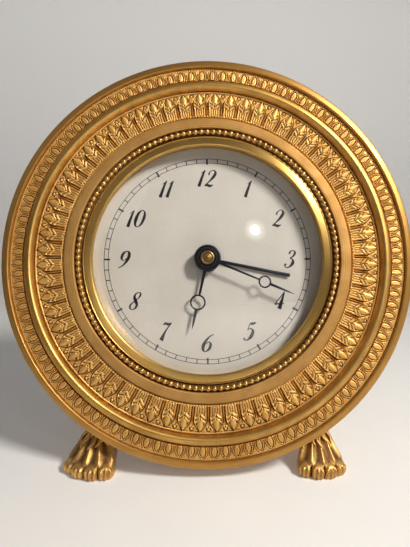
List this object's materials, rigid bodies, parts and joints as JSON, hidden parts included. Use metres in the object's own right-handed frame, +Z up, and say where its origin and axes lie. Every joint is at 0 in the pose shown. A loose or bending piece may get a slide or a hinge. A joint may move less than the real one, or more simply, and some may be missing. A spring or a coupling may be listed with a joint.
{
  "type": "desk alarm clock",
  "caption": "Round gilt-bronze desk alarm clock: chased leaf bezel, domed glass, enamel dial, lion-paw feet and a folding rear strut, with a wound movement and alarm inside.",
  "frame": {"origin": "on the table, in the middle of the part's box", "axes": "+Z up, +X to the right seen from the front, +Y to the back, so the dial faces -Y and leans back"},
  "size_m": [0.1268, 0.078, 0.1273],
  "materials": {
    "gilt": "polished and turned gilding, worn",
    "chased_gilt": "matt chased gilding",
    "brass": "satin turned brass",
    "steel": "satin",
    "blued_steel": "heat-blued, polished",
    "enamel": "gloss enamel",
    "glass": "clear domed glass"
  },
  "bodies": {
    "root": {"front_frame": "gilt", "outer_leaf_band": "chased_gilt", "lancet_leaf_band": "chased_gilt", "bead_ring": "gilt", "sight_ring": "brass", "glass": "glass", "dial_spacer": "brass", "dial": "enamel", "drum": "gilt", "back_cover": "gilt", "front_plate": "brass", "back_plate": "brass", "pillar_upper_right": "brass", "pillar_upper_left": "brass", "pillar_lower_left": "brass", "pillar_lower_right": "brass", "hairspring": "steel", "strut_bracket": "brass", "strut_hinge_pin": "steel", "right_paw_foot": "gilt", "left_paw_foot": "gilt"},
    "minute_arbor": {"centre_arbor": "steel", "cannon_pinion": "steel", "minute_hand": "blued_steel", "hand_cap": "brass", "hand_setting_knob": "brass"},
    "minute_wheel": {"minute_wheel": "brass"},
    "hour_wheel": {"hour_wheel": "brass", "hour_hand": "blued_steel"},
    "alarm_setting": {"alarm_setting_arbor": "steel", "alarm_setting_knob": "brass"},
    "alarm_hand": {"alarm_setting_wheel": "brass", "alarm_hand": "blued_steel"},
    "third_wheel": {"third_wheel": "brass"},
    "centre_wheel": {"centre_wheel": "brass"},
    "intermediate_wheel": {"intermediate_wheel": "brass"},
    "time_barrel": {"time_barrel": "brass", "time_mainspring": "steel", "time_barrel_cover": "brass"},
    "fourth_wheel": {"fourth_wheel": "brass"},
    "escape_wheel": {"escape_wheel": "brass"},
    "pallet_lever": {"pallet_lever": "steel"},
    "balance_wheel": {"balance_wheel": "brass"},
    "regulator_lever": {"regulator_lever": "steel"},
    "time_winding": {"time_barrel_arbor": "steel", "time_ratchet": "steel", "time_winding_key": "brass"},
    "time_click": {"time_click": "steel"},
    "alarm_barrel": {"alarm_barrel": "brass", "alarm_mainspring": "steel", "alarm_barrel_cover": "brass"},
    "alarm_escape_wheel": {"alarm_escape_wheel": "brass"},
    "alarm_winding": {"alarm_barrel_arbor": "steel", "alarm_ratchet": "steel", "alarm_winding_key": "brass"},
    "alarm_click": {"alarm_click": "steel"},
    "alarm_hammer": {"alarm_hammer": "steel"},
    "easel_strut": {"easel_strut": "gilt"}
  },
  "joints": [
    {"name": "minute_arbor_turn", "type": "hinge", "parent": "root", "child": "minute_arbor", "pos_m": [0, -0.02336, 0.06551], "axis": [0, 0.9781, -0.2079], "continuous": true},
    {"name": "minute_wheel_turn", "type": "hinge", "parent": "root", "child": "minute_wheel", "pos_m": [-0.00827, -0.02399, 0.06257], "axis": [0, 0.9781, -0.2079], "continuous": true},
    {"name": "hour_wheel_turn", "type": "hinge", "parent": "root", "child": "hour_wheel", "pos_m": [0, -0.02336, 0.06551], "axis": [0, 0.9781, -0.2079], "continuous": true},
    {"name": "alarm_setting_turn", "type": "hinge", "parent": "root", "child": "alarm_setting", "pos_m": [0, -0.02037, 0.0796], "axis": [0, 0.9781, -0.2079], "continuous": true},
    {"name": "alarm_hand_turn", "type": "hinge", "parent": "root", "child": "alarm_hand", "pos_m": [0, -0.02336, 0.06551], "axis": [0, 0.9781, -0.2079], "continuous": true},
    {"name": "third_wheel_turn", "type": "hinge", "parent": "root", "child": "third_wheel", "pos_m": [0.0054, -0.02531, 0.05636], "axis": [0, 0.9781, -0.2079], "continuous": true},
    {"name": "centre_wheel_turn", "type": "hinge", "parent": "root", "child": "centre_wheel", "pos_m": [0, -0.02336, 0.06551], "axis": [0, 0.9781, -0.2079], "continuous": true},
    {"name": "intermediate_wheel_turn", "type": "hinge", "parent": "root", "child": "intermediate_wheel", "pos_m": [-0.00885, -0.02465, 0.05945], "axis": [0, 0.9781, -0.2079], "continuous": true},
    {"name": "time_barrel_turn", "type": "hinge", "parent": "root", "child": "time_barrel", "pos_m": [-0.01964, -0.0217, 0.07336], "axis": [0, 0.9781, -0.2079], "continuous": true},
    {"name": "fourth_wheel_turn", "type": "hinge", "parent": "root", "child": "fourth_wheel", "pos_m": [0.01498, -0.02603, 0.05295], "axis": [0, 0.9781, -0.2079], "continuous": true},
    {"name": "escape_wheel_turn", "type": "hinge", "parent": "root", "child": "escape_wheel", "pos_m": [0.00931, -0.02772, 0.04502], "axis": [0, 0.9781, -0.2079], "continuous": true},
    {"name": "pallet_lever_rock", "type": "hinge", "parent": "root", "child": "pallet_lever", "pos_m": [0.0031, -0.02819, 0.04281], "axis": [0, 0.9781, -0.2079], "range_deg": [-6, 6]},
    {"name": "balance_swing", "type": "hinge", "parent": "root", "child": "balance_wheel", "pos_m": [-0.0046, -0.02894, 0.0393], "axis": [0, 0.9781, -0.2079], "range_deg": [-200, 200], "stiffness_Nm_per_rad": 0.000037},
    {"name": "regulator_shift", "type": "hinge", "parent": "root", "child": "regulator_lever", "pos_m": [-0.0046, -0.02894, 0.0393], "axis": [0, 0.9781, -0.2079], "range_deg": [-12, 12]},
    {"name": "time_winding_turn", "type": "hinge", "parent": "root", "child": "time_winding", "pos_m": [-0.01964, -0.0217, 0.07336], "axis": [0, 0.9781, -0.2079], "continuous": true},
    {"name": "time_click_lift", "type": "hinge", "parent": "root", "child": "time_click", "pos_m": [-0.01964, -0.02325, 0.06602], "axis": [0, 0.9781, -0.2079], "range_deg": [0, 8], "stiffness_Nm_per_rad": 0.001, "springref_deg": -5.73},
    {"name": "alarm_barrel_turn", "type": "hinge", "parent": "root", "child": "alarm_barrel", "pos_m": [0.01964, -0.0217, 0.07336], "axis": [0, 0.9781, -0.2079], "continuous": true},
    {"name": "alarm_escape_turn", "type": "hinge", "parent": "root", "child": "alarm_escape_wheel", "pos_m": [0.00596, -0.01931, 0.08458], "axis": [0, 0.9781, -0.2079], "continuous": true},
    {"name": "alarm_winding_turn", "type": "hinge", "parent": "root", "child": "alarm_winding", "pos_m": [0.01964, -0.0217, 0.07336], "axis": [0, 0.9781, -0.2079], "continuous": true},
    {"name": "alarm_click_lift", "type": "hinge", "parent": "root", "child": "alarm_click", "pos_m": [0.01964, -0.02325, 0.06602], "axis": [0, 0.9781, -0.2079], "range_deg": [0, 8], "stiffness_Nm_per_rad": 0.001, "springref_deg": -5.73},
    {"name": "alarm_hammer_strike", "type": "hinge", "parent": "root", "child": "alarm_hammer", "pos_m": [-0.0015, -0.01826, 0.08951], "axis": [0, 0.9781, -0.2079], "range_deg": [0, 17.5], "stiffness_Nm_per_rad": 0.005, "springref_deg": -5.73},
    {"name": "strut_fold", "type": "hinge", "parent": "root", "child": "easel_strut", "pos_m": [0, 0.01667, 0.04269], "axis": [1, 0, 0], "range_deg": [-36, 0]}
  ],
  "couplings": [
    {"joint": "minute_wheel_turn", "follows": "minute_arbor_turn", "ratio": -0.33333},
    {"joint": "hour_wheel_turn", "follows": "minute_arbor_turn", "ratio": 0.083333},
    {"joint": "alarm_hand_turn", "follows": "alarm_setting_turn", "ratio": -0.33333},
    {"joint": "centre_wheel_turn", "follows": "third_wheel_turn", "ratio": -0.125},
    {"joint": "intermediate_wheel_turn", "follows": "third_wheel_turn", "ratio": 0.03125},
    {"joint": "time_barrel_turn", "follows": "third_wheel_turn", "ratio": -0.0052083},
    {"joint": "fourth_wheel_turn", "follows": "third_wheel_turn", "ratio": -7.5},
    {"joint": "escape_wheel_turn", "follows": "third_wheel_turn", "ratio": 75},
    {"joint": "alarm_escape_turn", "follows": "alarm_barrel_turn", "ratio": -6}
  ]
}
